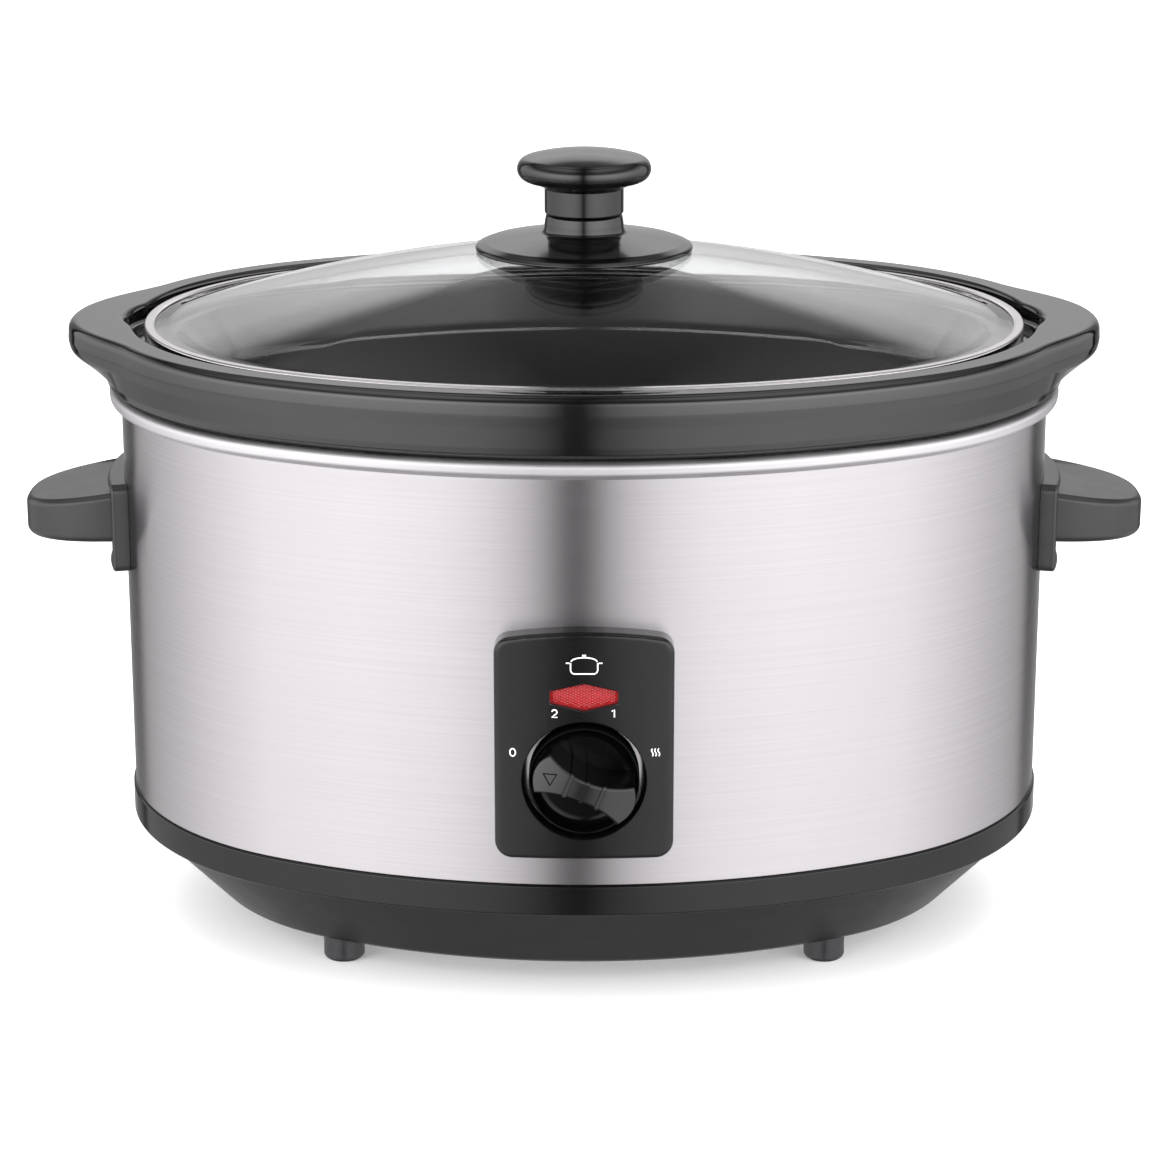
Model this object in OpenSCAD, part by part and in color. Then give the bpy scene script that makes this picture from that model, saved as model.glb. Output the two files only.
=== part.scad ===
// Oval slow cooker: steel body on a moulded base, lift-out stoneware crock,
// domed glass lid, two side handles and a rotary heat switch on the front.
// Millimetres, +Z up, -Y is the front, origin on the table under the middle.

/* [Body] */
// Half width of the steel body, left to right
body_half_w = 170.5; // [169:0.5:172]
// Sixth part of the difference between the body's half width and half depth
oval_step = 7.375; // [7.3:0.025:7.45]
// Height of the joint between base and steel body
body_z = 52; // [50:1:54]
// Height of the top of the steel body
body_top = 198; // [196:1:199]
// Thickness of the steel sheet
sheet = 0.8; // [0.6:0.1:1]

/* [Base and feet] */
// Height of the feet below the base
foot_h = 10; // [9:0.5:12]
// Radius of a foot
foot_r = 7.5; // [7:0.5:9]
// Foot centre, sideways from the middle
foot_x = 88.3; // [84:0.1:90]
// Foot centre, forward and backward from the middle
foot_y = 64.5; // [60:0.5:66]
// Height of the lower edge of the upright base band
band_z = 40.6; // [39:0.1:42]
// How far the band stands out from the body
band_out = 0.8; // [0.4:0.1:1.2]
// How far the sloping skirt draws in below the band
skirt_in = 30; // [28:1:32]

/* [Heating pot] */
// Gap from the body's face to the pot wall at the top
pot_inset = 25; // [24:1:26]
// Extra inset of the pot wall at its floor
pot_taper = 6; // [5:1:7]
// Height of the pot floor's upper face
pot_floor = 67; // [66:1:68]
// Radius of the rolled collar on the pot
collar_r = 3; // [2.8:0.1:3.2]

/* [Crock] */
// Height of the crock's rim
rim_top = 227.5; // [226:0.5:229]
// Overhang of the rim beyond the steel body
rim_out = 6.8; // [6:0.2:7.4]
// Wall thickness of the crock
crock_wall = 8; // [7:0.5:9]
// Height of the ledge that the lid rests on
seat_z = 220.8; // [220:0.1:221]
// Half width over the two ears
ear_half_w = 189.5; // [187:0.5:191]
// Plan radius of an ear
ear_r = 60; // [56:1:62]

/* [Lid] */
// Gap from the body's face line in to the lid's edge
lid_inset = 9.2; // [9:0.1:9.6]
// Height of the lid's steel rim
lid_rim_top = 226.7; // [226.5:0.1:227]
// Rise of the glass dome above its edge
dome_h = 29; // [27:0.1:30]
// Roundness of the dome: 1 is a cone, 2 a full curve
dome_power = 1.6; // [1.4:0.1:2]
// Thickness of the glass
glass_t = 4; // [3.6:0.1:4]
// Radius of the lid knob's cap
cap_r = 24.5; // [22:0.1:26]
// Radius of the lid knob's stem
stem_r = 14.5; // [13:0.1:15]
// Radius of the lid knob's base flange
flange_r = 40; // [37:0.1:42]

/* [Control panel] */
// Width of the panel
panel_w = 61.5; // [60:0.5:63]
// Height of the panel's lower edge
panel_z0 = 64.5; // [64:0.5:66]
// Height of the panel's upper edge at the middle
panel_z1 = 146.2; // [145:0.1:148]
// How far the panel stands off the body
panel_t = 8; // [7.5:0.5:9]
// Height of the selector knob's axis
knob_z = 93.2; // [92:0.1:94]
// Radius of the selector knob
knob_r = 19; // [18:0.1:19.4]
// Radius of the well around the knob
well_r = 21.2; // [20.6:0.1:22]
// Height of the middle of the indicator lens
lens_z = 123.2; // [122:0.1:124]
// Direction of the knob's pointer at off, in degrees from the right
off_angle = 157.5; // [150:0.5:160]

/* [Side handles] */
// Half width over the two handles
handle_half_w = 207.5; // [204:0.5:209]
// Half depth of a handle, front to back
handle_half_d = 28; // [26:1:30]
// Upper edge of the handle's bracket
bracket_z1 = 170; // [166:1:170]
// Lower edge of the handle's bracket
bracket_z0 = 137; // [136:1:140]

/* [Hidden] */
$fn = 96;

// Four-arc oval: two end arcs about (+-end_c, 0) and two side arcs about (0, -+side_c). The
// centres and the gap between them are sides of an 8, 15, 17 triangle, so the arcs join exactly.
end_c = 8 * oval_step;
side_c = 15 * oval_step;
end_r = body_half_w - end_c;
side_r = end_r + 17 * oval_step;
body_half_d = side_r - side_c;
end_half = atan2(15, 8);

// Clearances
air = 0.3;

// Base
base_t = 2.5;
cover_in = -50.4;
cover_t = 1.6;
cover_z = foot_h + 0.4;
core_in = -80;

// Pot and crock walls, as offsets from the body's face
pot_t = 1;
pot_top = body_top + 2 * collar_r;
pot_base_in = -pot_inset - pot_taper;
crock_gap = 2;
crock_top_in = -pot_inset - crock_gap;
crock_base_in = pot_base_in - crock_gap;
crock_base = pot_floor + 1;
crock_floor = crock_base + crock_wall + 2;
lip_in = -lid_inset + 2.7;
ear_c = ear_half_w - ear_r;
notch_r = 40;

// Lid
channel_t = 0.7;
glass_z = lid_rim_top - channel_t - 0.1;
glass_edge = -lid_inset - channel_t - 0.1;
dome_top = glass_z + dome_h;
hole_r = 6;
flange_z = dome_top - 2.3;
seal_top = dome_top + 1.1;
stem_split = dome_top + 10.3;
cap_z = dome_top + 25.7;
cap_top = dome_top + 33.8;
cap_edge = 5.5;

// Front panel, as distances forward of the body's face at the middle
face = panel_t;
face_y = -body_half_d;
well_floor = -4.5;
bracket_w = -8;
switch_w = -20;
knob_front = face + 12;
lens_w = 22.9;
lens_h = 9.7;
lens_flat = 4.5;

// Fasteners
m4 = 2;
screw_y = 18;
screw_z = (bracket_z0 + bracket_z1) / 2;
gland_z = 74;
gland_out = 20;

// A point on the oval that lies d outside the body's face, where its normal points along phi
function oval_point(d, phi) =
    abs(sin(phi)) <= sin(end_half)
        ? [sign(cos(phi)) * end_c + (end_r + d) * cos(phi), (end_r + d) * sin(phi)]
        : [(side_r + d) * cos(phi), (side_r + d) * sin(phi) - sign(sin(phi)) * side_c];

// Carries a profile round the oval; its x is the offset from the body's face and its y the height
module oval_sweep() {
    reach = 20;
    for (turn = [0, 180]) rotate(turn) {
        intersection() {
            translate([end_c, 0, 0]) rotate_extrude() translate([end_r, 0]) children();
            linear_extrude(400) polygon([[end_c, 0], [end_c + 8 * reach, -15 * reach],
                [end_c + 8 * reach, 15 * reach]]);
        }
        intersection() {
            translate([0, -side_c, 0]) rotate_extrude() translate([side_r, 0]) children();
            linear_extrude(400) polygon([[0, -side_c], [8 * reach, 15 * reach - side_c],
                [-8 * reach, 15 * reach - side_c]]);
        }
    }
}

// Flat oval plate; edge_in is its edge as an offset from the body's face
module oval_plate(edge_in, z, t) {
    oval_sweep() translate([core_in, z]) square([edge_in - core_in, t]);
    oval_core(z, t);
}

// The middle of a plate, which reaches past the inner edge of the swept ring
module oval_core(z, t) {
    translate([0, 0, z]) linear_extrude(t)
        polygon([for (phi = [0 : 10 : 350]) oval_point(core_in + 8, phi)]);
}

// Faces a child's +Z to the front, with its y upward, at height z
module on_front(z) {
    translate([0, face_y, z]) rotate([90, 0, 0]) children();
}

// Places a child on the right, and its mirror image on the left when side is -1
module on_side(side) {
    mirror([side < 0 ? 1 : 0, 0, 0]) children();
}

// Curved strip on the body's right end, between two offsets and two heights
module end_strip(d0, d1, z0, z1, half_angle) {
    translate([end_c, 0, 0]) rotate(-half_angle) rotate_extrude(angle = 2 * half_angle)
        translate([end_r + d0, z0]) square([d1 - d0, z1 - z0]);
}

function unit(v) = v / norm(v);

// Direction of a wire at its point i, halfway between the stretches that meet there
function run(points, i) =
    let(ahead = i < len(points) - 1 ? unit(points[i + 1] - points[i]) : [0, 0, 0],
        behind = i > 0 ? unit(points[i] - points[i - 1]) : [0, 0, 0]) unit(ahead + behind);

// Eight-sided wire through a list of points, none of whose stretches runs along X
module wire(points, r) {
    sides = 8;
    last = sides * (len(points) - 1);
    rings = [for (i = [0 : len(points) - 1], a = [0 : 360 / sides : 359])
        let(t = run(points, i), u = unit(cross([1, 0, 0], t)), v = cross(t, u))
        points[i] + r * (cos(a) * u + sin(a) * v)];
    polyhedron(points = rings, faces = concat(
        [[for (i = [sides - 1 : -1 : 0]) i]], [[for (i = [0 : sides - 1]) last + i]],
        [for (k = [0 : sides : last - 1], i = [0 : sides - 1]) let(j = (i + 1) % sides)
            each [[k + i, k + j, k + sides + j], [k + i, k + sides + j, k + sides + i]]]));
}

// Button-head screw with its head's underside at z = 0 and its shank upward
module screw(shank_r, length, head_r, head_h) {
    translate([0, 0, -head_h / 2]) cylinder(r = shank_r, h = length + head_h / 2);
    translate([0, 0, -head_h]) cylinder(r = head_r, h = head_h);
}

module cylinder_between(r, z0, z1) {
    translate([0, 0, z0]) cylinder(r = r, h = z1 - z0);
}

module at_feet() {
    for (x = [-foot_x, foot_x], y = [-foot_y, foot_y]) translate([x, y, 0]) children();
}

module at_handle_screws() {
    for (side = [-1, 1]) on_side(side)
        for (y = [-screw_y, screw_y]) translate([0, y, screw_z]) rotate([0, 90, 0]) children();
}

module at_panel_screws() {
    for (x = [-26, 26], z = [panel_z0 + 6, panel_z1 - 9])
        translate([x, face_y, z]) rotate([90, 0, 0]) children();
}

module at_cover_screws() {
    for (phi = [45 : 90 : 315])
        translate([oval_point(cover_in - 5, phi).x, oval_point(cover_in - 5, phi).y, 0]) children();
}

module outer_shell() {
    color([0.78, 0.77, 0.77]) difference() {
        oval_sweep() translate([-sheet, body_z]) square([sheet, body_top + 0.2 - body_z]);
        translate([-23.2, face_y - 5, panel_z0 + 5]) cube([46.4, 20, panel_z1 - panel_z0 - 14]);
        at_panel_screws() translate([0, 0, -10]) cylinder(r = 2, h = 20);
        at_handle_screws() translate([0, 0, 150]) cylinder(r = m4 + 0.3, h = 40);
        translate([0, body_half_d + 5, gland_z]) rotate([90, 0, 0]) cylinder(r = 6.2, h = 20);
    }
}

// Steel pot that hangs from its rolled collar and carries the heating band
module heating_pot() {
    color([0.85, 0.85, 0.86]) {
        oval_sweep() {
            translate([collar_r / 2 - 0.2, body_top + collar_r]) circle(r = collar_r);
            polygon([[0, pot_top], [-pot_inset, pot_top], [pot_base_in, pot_floor],
                [core_in, pot_floor], [core_in, pot_floor - pot_t],
                [pot_base_in + pot_t, pot_floor - pot_t], [pot_t - pot_inset, pot_top - pot_t],
                [0, pot_top - pot_t]]);
        }
        oval_core(pot_floor - pot_t, pot_t);
    }
}

// Offset of the pot's outer wall at height z
function pot_wall(z) =
    pot_t - pot_inset - pot_taper * (pot_top - pot_t - z) / (pot_top - pot_floor);

module pot_wrap(z0, z1, gap, t) {
    oval_sweep() polygon([[pot_wall(z0) + gap, z0], [pot_wall(z1) + gap, z1],
        [pot_wall(z1) + gap + t, z1], [pot_wall(z0) + gap + t, z0]]);
}

module heating_band() {
    color([0.72, 0.68, 0.60]) pot_wrap(90, 150, 0.1, 2.2);
}

module clamp_hoop() {
    color([0.7, 0.7, 0.72]) {
        pot_wrap(115, 125, 2.4, 0.7);
        translate([-8, body_half_d + pot_wall(120) + 2.8, 116]) cube([16, 5, 8]);
        translate([-11, body_half_d + pot_wall(120) + 6, 120]) rotate([0, 90, 0])
            cylinder(r = 1.5, h = 22);
    }
}

// Moulded base: upright band, sloping skirt and the floor ring that the feet screw to
module base_pan() {
    color([0.12, 0.12, 0.13]) difference() {
        union() {
            oval_sweep() polygon([[-1, body_z + 8], [-1, body_z - 0.1], [band_out, body_z - 0.1],
                [band_out, band_z + 0.8], [band_out - 0.7, band_z], [-2.2, band_z], [-skirt_in, foot_h + 1.2],
                [-skirt_in - 1.5, foot_h], [cover_in + 0.4, foot_h], [cover_in + 0.4, foot_h + 2],
                [cover_in - 10, foot_h + 2], [cover_in - 10, foot_h + 2 + base_t],
                [-skirt_in - 2, foot_h + 2 + base_t], [-5.5, band_z + 1], [-3.5, band_z + 4],
                [-3.5, body_z + 8]]);
            at_feet() translate([0, 0, foot_h + base_t]) cylinder(r = 5, h = 10);
        }
        at_feet() cylinder(r = m4 + 0.05, h = foot_h + 11);
        at_cover_screws() cylinder(r = 1.55, h = 30);
    }
}

module bottom_cover() {
    color([0.55, 0.56, 0.57]) difference() {
        oval_plate(cover_in, cover_z, cover_t);
        cylinder(r = 3.3, h = 30, center = true);
        at_cover_screws() cylinder(r = 1.8, h = 30);
        for (side = [-1, 1], i = [-3 : 3])
            translate([side * 45 - 12, i * 8 - 1.5, 0]) cube([24, 3, 20]);
    }
}

module cover_screws() {
    color([0.7, 0.7, 0.72]) at_cover_screws() translate([0, 0, cover_z]) screw(1.5, 5.5, 3, 1.6);
}

module feet() {
    color([0.08, 0.08, 0.09]) at_feet() difference() {
        rotate_extrude() union() {
            square([foot_r - 2, foot_h]);
            translate([0, 2]) square([foot_r, foot_h - 2]);
            translate([foot_r - 2, 2]) circle(r = 2);
        }
        translate([0, 0, -1]) cylinder(r = m4 + 0.3, h = foot_h + 2);
        translate([0, 0, -1]) cylinder(r = 4, h = 5);
    }
}

module foot_screws() {
    color([0.7, 0.7, 0.72]) at_feet() translate([0, 0, 4]) screw(m4, 16, 3.8, 2.4);
}

module centre_stud() {
    color([0.7, 0.7, 0.72]) cylinder_between(3, 5, pot_floor - pot_t);
}

module centre_nut() {
    color([0.75, 0.75, 0.76]) difference() {
        union() {
            translate([0, 0, cover_z - 5.2]) cylinder(r = 6, h = 4.2, $fn = 6);
            cylinder_between(9, cover_z - 1.01, cover_z);
        }
        cylinder(r = 3.05, h = 40, center = true);
    }
}

// Curved bracket and a half-round grip that slopes down to its tip
module handle() {
    grip_r = 35;
    color([0.2, 0.2, 0.21]) difference() {
        union() {
            end_strip(0.1, 6.3, bracket_z0, bracket_z1, asin(30 / end_r));
            difference() {
                intersection() {
                    translate([handle_half_w - grip_r, 0, 0]) cylinder(r = grip_r, h = 200);
                    translate([body_half_w - 15, -handle_half_d, bracket_z0 + 8])
                        cube([60, 2 * handle_half_d, 24]);
                    translate([body_half_w - 15, -50, bracket_z0 + 11.5]) rotate([0, 2, 0])
                        cube([60, 100, 40]);
                    translate([body_half_w, -50, bracket_z1 - 3]) rotate([0, 9.5, 0])
                        translate([-30, 0, -40]) cube([90, 100, 40]);
                }
                translate([end_c, 0, 100]) cylinder(r = end_r + 3, h = 100);
            }
        }
        for (y = [-screw_y, screw_y]) translate([body_half_w - 8, y, screw_z])
            rotate([0, 90, 0]) cylinder(r = m4 + 0.05, h = 22);
    }
}

module handle_left() {
    on_side(-1) handle();
}

module handle_right() {
    on_side(1) handle();
}

module handle_plates() {
    color([0.7, 0.7, 0.72]) for (side = [-1, 1]) on_side(side) difference() {
        end_strip(-sheet - 1.6, -sheet - 0.1, screw_z - 10, screw_z + 10, 14);
        for (y = [-screw_y, screw_y]) translate([body_half_w - 20, y, screw_z])
            rotate([0, 90, 0]) cylinder(r = m4 + 0.2, h = 30);
    }
}

module handle_screws() {
    color([0.7, 0.7, 0.72]) at_handle_screws() translate([0, 0, body_half_w - 4.9])
        screw(m4, 18, 3.8, 2.6);
}

// Outline of the panel, with an arched top edge and round corners
module panel_outline(inset) {
    w = panel_w - 2 * inset;
    h = panel_z1 - panel_z0 - 2 * inset;
    corner = 6 - inset;
    arch_r = 160;
    translate([0, panel_z0 + inset]) intersection() {
        union() {
            translate([-w / 2 + corner, 0]) square([w - 2 * corner, h]);
            translate([-w / 2, corner]) square([w, h - 2 * corner - 3]);
            for (x = [corner - w / 2, w / 2 - corner], y = [corner, h - corner - 3])
                translate([x, y]) circle(r = corner);
        }
        translate([0, h - arch_r]) circle(r = arch_r, $fn = 360);
    }
}

// Slab in front of the body that follows its front, between two offsets
module front_slab(d0, d1) {
    translate([0, side_c, 0]) rotate(270 - 15) rotate_extrude(angle = 30)
        translate([side_r + d0, panel_z0 - 5]) square([d1 - d0, panel_z1 - panel_z0 + 10]);
}

module control_bezel() {
    color([0.2, 0.2, 0.21]) difference() {
        union() {
            difference() {
                intersection() {
                    on_front(0) translate([0, 0, -10]) linear_extrude(30) panel_outline(0);
                    front_slab(0.1, face);
                }
                intersection() {
                    on_front(0) translate([0, 0, -10]) linear_extrude(30) panel_outline(2);
                    front_slab(-1, face - 2);
                }
            }
            on_front(knob_z) cylinder_between(well_r + 1.5, well_floor - 1.5, face - 1.3);
            at_panel_screws() cylinder(r = 3.6, h = face - 2);
        }
        on_front(knob_z) cylinder_between(well_r, well_floor, face + 1);
        on_front(knob_z) cylinder_between(8, well_floor - 2, well_floor + 1);
        on_front(lens_z) linear_extrude(30) lens_outline(0.2);
        at_panel_screws() translate([0, 0, -5]) cylinder(r = 1.55, h = 9);
    }
}

module panel_screws() {
    color([0.7, 0.7, 0.72]) at_panel_screws() translate([0, 0, -2.7]) screw(1.5, 6, 3, 1.8);
}

// Long hexagon of the lens, grown by extra all round
module lens_outline(extra) {
    x = lens_w / 2 + extra;
    y = lens_h / 2 + extra;
    flat = lens_flat / 2 + extra;
    polygon([[-x, -flat], [0, -y], [x, -flat], [x, flat], [0, y], [-x, flat]]);
}

module indicator_lens() {
    color([0.8, 0.08, 0.06]) on_front(lens_z) {
        translate([0, 0, face - 4]) linear_extrude(3.4) lens_outline(0);
        translate([0, 0, face - 4]) linear_extrude(1.6) lens_outline(1.2);
    }
}

module indicator_lamp() {
    color([0.9, 0.8, 0.7]) on_front(lens_z) translate([-6, 0, face - 6.8]) rotate([0, 90, 0])
        cylinder(r = 2.6, h = 12);
}

module switch_bracket() {
    color([0.7, 0.7, 0.72]) on_front(knob_z) difference() {
        translate([-22, -14, bracket_w]) cube([44, 28, 1.2]);
        translate([0, 0, bracket_w - 1]) cylinder(r = 4.7, h = 5);
    }
}

module rotary_switch() {
    color([0.16, 0.16, 0.17]) on_front(knob_z) difference() {
        union() {
            translate([-13, -13, switch_w]) cube([26, 26, bracket_w - switch_w]);
            translate([0, 0, bracket_w - 1]) cylinder(r = 4.5, h = 4.5);
        }
        translate([0, 0, switch_w - 1]) cylinder(r = 3.06, h = 30);
    }
}

module switch_nut() {
    color([0.75, 0.75, 0.76]) on_front(knob_z) translate([0, 0, bracket_w + 1.2]) difference() {
        cylinder(r = 7.4, h = 2, $fn = 6);
        translate([0, 0, -1]) cylinder(r = 4.55, h = 5);
    }
}

module thermal_fuse() {
    color([0.85, 0.8, 0.6]) translate([34, -24, 61.2]) rotate([0, 90, 0]) cylinder(r = 2.2, h = 12);
}

module fuse_clip() {
    color([0.7, 0.7, 0.72]) translate([37, -30, 0]) {
        translate([0, 0, pot_floor - pot_t - 0.8]) cube([6, 12, 0.8]);
        translate([0, 2.4, 59.5]) cube([6, 1, pot_floor - pot_t - 59.5 - 0.8]);
        translate([0, 8.6, 59.5]) cube([6, 1, pot_floor - pot_t - 59.5 - 0.8]);
    }
}

module terminal_block() {
    color([0.9, 0.9, 0.88]) translate([-20, 46, cover_z + cover_t]) difference() {
        cube([40, 14, 16]);
        for (x = [8, 20, 32]) translate([x, 7, 4]) cylinder(r = 2.5, h = 20);
    }
}

module internal_wires() {
    block_z = cover_z + cover_t + 4;
    wires = [
        [[-12, 53, block_z], [-12, 53, 40], [-20, 100, 52], [-20, 101, 98]],
        [[0, 53, block_z], [0, 53, 46], [20, 26, 54], [20, 24, 58], [20, 24, pot_floor - pot_t - 0.1]],
        [[12, 53, block_z], [12, 53, 40], [12, -60, 40], [8, -112, 58], [8, -112, knob_z - 13]]
    ];
    for (i = [0 : len(wires) - 1])
        color([[0.5, 0.3, 0.2], [0.3, 0.6, 0.2], [0.2, 0.35, 0.7]][i]) wire(wires[i], 1.2);
}

// Strain-relief bush for a 7 mm mains cord, through the back of the steel body
module cord_gland() {
    color([0.1, 0.1, 0.11]) translate([0, body_half_d, gland_z]) rotate([-90, 0, 0]) difference() {
        union() {
            translate([0, 0, -9]) cylinder(r = 6, h = 12);
            translate([0, 0, 0.05]) cylinder(r = 9.5, h = 3);
            translate([0, 0, 3]) cylinder(r1 = 7.5, r2 = 6, h = gland_out - 3);
        }
        translate([0, 0, -20]) cylinder(r = 3.6, h = 60);
    }
}

module gland_nut() {
    color([0.1, 0.1, 0.11]) translate([0, body_half_d - sheet - 0.4, gland_z]) rotate([90, 0, 0])
        difference() {
            cylinder(r = 10, h = 4, $fn = 6);
            translate([0, 0, -1]) cylinder(r = 6.05, h = 6);
        }
}

// Plan of the selector knob's finger bar, narrow in the middle and flared to both ends
module finger_bar(r) {
    difference() {
        circle(r = r);
        for (s = [-1, 1]) translate([0, s * 30.8]) circle(r = 26);
    }
}

module selector_knob() {
    lip = 1.4;
    color([0.07, 0.07, 0.08]) on_front(knob_z) rotate(off_angle) difference() {
        union() {
            difference() {
                translate([0, 0, well_floor + 1]) cylinder(r = knob_r, h = face + 1.5 - well_floor - 1);
                translate([0, 0, 3]) cylinder(r = knob_r - lip, h = 20);
            }
            translate([0, 0, 2]) linear_extrude(knob_front - 2) finger_bar(knob_r - 0.2);
        }
        translate([0, 0, -10]) cylinder(r = 3.05, h = 18);
    }
}

module switch_shaft() {
    color([0.8, 0.75, 0.5]) on_front(knob_z) translate([0, 0, switch_w + 1])
        cylinder(r = 3, h = 26);
}

// Spring ring that grips the shaft inside the knob's foot
module knob_spring() {
    color([0.75, 0.75, 0.76]) on_front(knob_z) translate([0, 0, well_floor + 0.3]) difference() {
        cylinder(r = 4.4, h = 0.6);
        translate([0, 0, -1]) cylinder(r = 3.05, h = 3);
    }
}

// Plain-edged disc, rounded at its rim, that forms an ear where it stands outside the crock
module ear_disc() {
    rotate_extrude() union() {
        polygon([[20, rim_top], [ear_r - 5, rim_top], [ear_r - 5, rim_top - 10.5], [ear_r - 18, 211],
            [20, 211]]);
        translate([ear_r - 5, rim_top - 5]) circle(r = 5);
        translate([ear_r - 6, rim_top - 10.5]) square([3, 6]);
    }
}

module crock() {
    inner_top = crock_top_in - crock_wall;
    color([0.06, 0.06, 0.07]) difference() {
        union() {
            oval_sweep() polygon([[core_in, crock_base], [crock_base_in - 5, crock_base],
                [crock_base_in, crock_base + 5], [crock_top_in, 206], [crock_top_in + 3, 212],
                [-6, 212], [-5, pot_top + air], [1.5, pot_top + air], [2.5, pot_top + 1.4],
                [4.9, pot_top + 1.4], [rim_out, rim_top - 5], [rim_out - 1.2, rim_top - 1.6],
                [rim_out - 4.5, rim_top], [lip_in + 2, rim_top], [lip_in, rim_top - 2],
                [lip_in, seat_z], [-21, seat_z], [-24, seat_z - 2], [inner_top, 206],
                [crock_base_in - crock_wall, crock_floor + 8],
                [crock_base_in - crock_wall - 8, crock_floor], [core_in, crock_floor]]);
            oval_core(crock_base, crock_floor - crock_base);
            for (side = [-1, 1]) on_side(side) intersection() {
                translate([ear_c, 0, 0]) ear_disc();
                translate([end_c, 0, 0]) difference() {
                    translate([0, -80, 200]) cube([150, 160, 40]);
                    translate([0, 0, 190]) cylinder(r = end_r - 2, h = 60);
                }
            }
        }
        for (side = [-1, 1]) translate([side * ear_c, 0, seat_z])
            intersection() {
                cylinder(r = notch_r, h = 20);
                translate([side > 0 ? 26 : -56, -40, 0]) cube([30, 80, 20]);
            }
    }
}

// Height of the dome's upper face, at the fraction s of the way from the middle to the edge
function dome_z(s) = glass_z + dome_h * (1 - pow(min(s, 1), dome_power));

// Domed glass: rings of points above and below, closed by the edge and by the hole in the middle
module lid_glass() {
    turns = [for (phi = [0 : 6 : 354]) phi];
    steps = [0, 0.12, 0.24, 0.36, 0.48, 0.6, 0.7, 0.8, 0.88, 0.95, 1, 1.03];
    n = len(turns);
    rings = len(steps);
    edge_scale = 1 / 1.03;
    upper = [for (s = steps, phi = turns) let(p = oval_point(glass_edge, phi) * edge_scale,
        hole = hole_r * [cos(phi), sin(phi)]) s == 0 ? [hole.x, hole.y, dome_z(0)]
        : [p.x * s, p.y * s, dome_z(s)]];
    lower = [for (p = upper) [p.x, p.y, p.z - glass_t]];
    size = n * rings;
    color([0.8, 0.83, 0.85, 0.4]) polyhedron(
        points = concat(upper, lower),
        faces = concat(
            [for (k = [0 : rings - 2], i = [0 : n - 1]) let(j = (i + 1) % n, a = k * n, b = a + n)
                each [[a + i, b + j, b + i], [a + i, a + j, b + j]]],
            [for (k = [0 : rings - 2], i = [0 : n - 1]) let(j = (i + 1) % n, a = size + k * n, b = a + n)
                each [[a + i, b + i, b + j], [a + i, b + j, a + j]]],
            [for (i = [0 : n - 1]) let(j = (i + 1) % n, a = (rings - 1) * n)
                each [[a + i, a + j, size + a + j], [a + i, size + a + j, size + a + i]]],
            [for (i = [0 : n - 1]) let(j = (i + 1) % n)
                each [[i, size + j, j], [i, size + i, size + j]]]));
}

// Steel channel crimped round the edge of the glass
module lid_rim() {
    z0 = glass_z - glass_t - 0.1 - channel_t;
    color([0.8, 0.8, 0.81]) oval_sweep() difference() {
        translate([-lid_inset - 4.4, z0]) square([4.4, lid_rim_top - z0]);
        translate([-lid_inset - 6, z0 + channel_t]) square([6 - channel_t, glass_t + 0.2]);
    }
}

// Cap and upper stem of the lid's handle
module lid_knob() {
    color([0.07, 0.07, 0.08]) difference() {
        rotate_extrude() union() {
            translate([0, stem_split]) square([stem_r, cap_z - stem_split - 2]);
            polygon([[0, cap_z - cap_edge], [cap_r - cap_edge, cap_z - cap_edge],
                [cap_r - cap_edge - 0.1, cap_z + 4], [cap_r - cap_edge + 0.9, cap_z + 5.2],
                [12, cap_top - 0.8], [6, cap_top], [0, cap_top]]);
            translate([cap_r - cap_edge, cap_z]) circle(r = cap_edge);
        }
        translate([0, 0, stem_split - 1]) cylinder(r = m4 + 0.05, h = 12);
    }
}

// Wide flange and lower stem of the lid's handle
module lid_knob_base() {
    color([0.07, 0.07, 0.08]) difference() {
        rotate_extrude() polygon([[0, dome_top], [16, dome_top], [flange_r - 1, flange_z],
            [flange_r, flange_z + 0.6], [flange_r, flange_z + 1.4], [flange_r - 1.5, flange_z + 2.3],
            [stem_r + 4, flange_z + 5.4], [stem_r + 1, flange_z + 7], [stem_r, flange_z + 9],
            [stem_r, stem_split - 0.8], [stem_r - 0.6, stem_split], [0, stem_split]]);
        translate([0, 0, flange_z - 2]) cylinder(r = m4 + 0.3, h = 30);
        cylinder_between(15.5, flange_z - 2, seal_top);
    }
}

// Silicone seals above and below the glass, joined by a sleeve through its hole
module lid_gasket() {
    color([0.75, 0.75, 0.73]) difference() {
        union() {
            cylinder_between(15, dome_top + 0.05, seal_top);
            cylinder_between(hole_r - 0.3, dome_top - glass_t - 1, dome_top + 0.5);
            cylinder_between(9, dome_top - glass_t - 1.5, dome_top - glass_t - 0.5);
        }
        cylinder(r = m4 + 0.3, h = 400);
    }
}

module lid_washer() {
    color([0.75, 0.75, 0.76]) difference() {
        cylinder_between(8.5, dome_top - glass_t - 2.7, dome_top - glass_t - 1.5);
        cylinder(r = m4 + 0.3, h = 400);
    }
}

module lid_screw() {
    color([0.7, 0.7, 0.72]) translate([0, 0, dome_top - glass_t - 2.7]) screw(m4, 25, 4.5, 2.4);
}

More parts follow.
